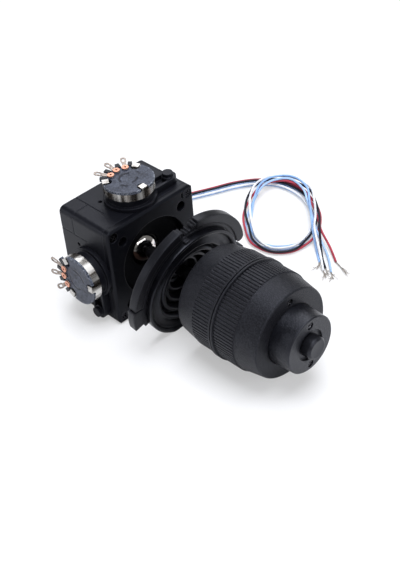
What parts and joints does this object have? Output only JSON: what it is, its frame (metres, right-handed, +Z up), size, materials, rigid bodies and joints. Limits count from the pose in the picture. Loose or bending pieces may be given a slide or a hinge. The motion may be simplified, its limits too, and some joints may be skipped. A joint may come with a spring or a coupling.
{
  "type": "industrial joystick",
  "caption": "Black two-axis joystick with twist grips, an end push button, side potentiometers, a folded boot in an open clamp ring and loose wires.",
  "frame": {"origin": "on the stick's centre line in the plane of the front plate's face, the centre of the four mounting holes", "axes": "+X runs along the stick from the front plate to the push button, +Z is up as the joystick lies on its side, +Y completes the frame"},
  "size_m": [0.1362, 0.127, 0.0538],
  "materials": {
    "black_plastic": "fine satin moulded, matt",
    "dark_nylon": "satin",
    "stem_black": "satin",
    "grip_plastic": "fine textured, matt",
    "button_plastic": "satin",
    "steel": "black oxide",
    "chrome": "polished",
    "nickel_plate": "nickel plated, drawn",
    "laminate": "fibrous laminate, satin",
    "tinned_brass": "tinned",
    "copper": "rolled",
    "black_rubber": "matt",
    "wire_red": "glossy insulation",
    "wire_black": "glossy insulation",
    "wire_blue": "glossy insulation",
    "wire_pale_blue": "glossy insulation",
    "wire_white": "glossy insulation",
    "tinned_strand": "tinned strands"
  },
  "bodies": {
    "housing": {"housing_body": "black_plastic", "front_plate": "black_plastic", "front_screws": "steel", "rear_cover": "black_plastic", "rear_screws": "steel", "socket_front": "dark_nylon", "socket_retainer": "dark_nylon", "wire_bush": "black_rubber", "hub_top": "black_plastic", "pot_top_can": "nickel_plate", "pot_top_wafer": "laminate", "pot_top_lugs": "tinned_brass", "pot_top_eyelets": "copper", "hub_side": "black_plastic", "pot_side_can": "nickel_plate", "pot_side_wafer": "laminate", "pot_side_lugs": "tinned_brass", "pot_side_eyelets": "copper", "bearing_bottom": "dark_nylon", "bearing_far": "dark_nylon", "spring_bottom": "steel", "spring_far": "steel", "wire_red": "wire_red", "wire_black": "wire_black", "wire_blue": "wire_blue", "wire_pale_blue": "wire_pale_blue", "wire_white": "wire_white", "wire_ends": "tinned_strand"},
    "yoke_top": {"yoke_top": "dark_nylon", "pot_top_rotor": "dark_nylon"},
    "yoke_side": {"yoke_side": "dark_nylon", "pot_side_rotor": "dark_nylon"},
    "stick": {"swivel_ball": "chrome", "stem": "stem_black", "boot": "black_rubber", "clamp_collar": "black_plastic", "clamp_arc_left": "black_plastic", "clamp_arc_right": "black_plastic", "grip_core": "dark_nylon", "divider": "dark_nylon", "lower_track": "laminate", "upper_track": "laminate", "switch_board": "laminate", "push_switch": "button_plastic", "end_cap": "grip_plastic", "cap_screws": "steel"},
    "lower_grip": {"lower_grip": "grip_plastic", "lower_wiper": "copper"},
    "upper_grip": {"upper_grip": "grip_plastic", "upper_hub": "dark_nylon", "upper_wiper": "copper", "end_screws": "steel"},
    "push_button": {"push_button": "button_plastic"}
  },
  "joints": [
    {"name": "tilt_sideways", "type": "hinge", "parent": "housing", "child": "yoke_top", "pos_m": [-0.0113, 0, 0], "axis": [0, 0, 1], "range_deg": [-18, 18], "stiffness_Nm_per_rad": 0.6},
    {"name": "tilt_up_down", "type": "hinge", "parent": "yoke_top", "child": "stick", "pos_m": [-0.0113, 0, 0], "axis": [0, 1, 0], "range_deg": [-18, 18], "stiffness_Nm_per_rad": 0.6},
    {"name": "yoke_side_turn", "type": "hinge", "parent": "housing", "child": "yoke_side", "pos_m": [-0.0113, 0, 0], "axis": [0, 1, 0], "range_deg": [-18, 18]},
    {"name": "lower_grip_turn", "type": "hinge", "parent": "stick", "child": "lower_grip", "pos_m": [0.04, 0, 0], "axis": [1, 0, 0], "range_deg": [-30, 30], "stiffness_Nm_per_rad": 0.08},
    {"name": "upper_grip_turn", "type": "hinge", "parent": "stick", "child": "upper_grip", "pos_m": [0.06, 0, 0], "axis": [1, 0, 0], "range_deg": [-30, 30], "stiffness_Nm_per_rad": 0.08},
    {"name": "button_press", "type": "slide", "parent": "stick", "child": "push_button", "axis": [-1, 0, 0], "range_m": [0, 0.001], "stiffness_N_per_m": 600}
  ],
  "couplings": [
    {"joint": "yoke_side_turn", "follows": "tilt_up_down", "ratio": 1}
  ]
}
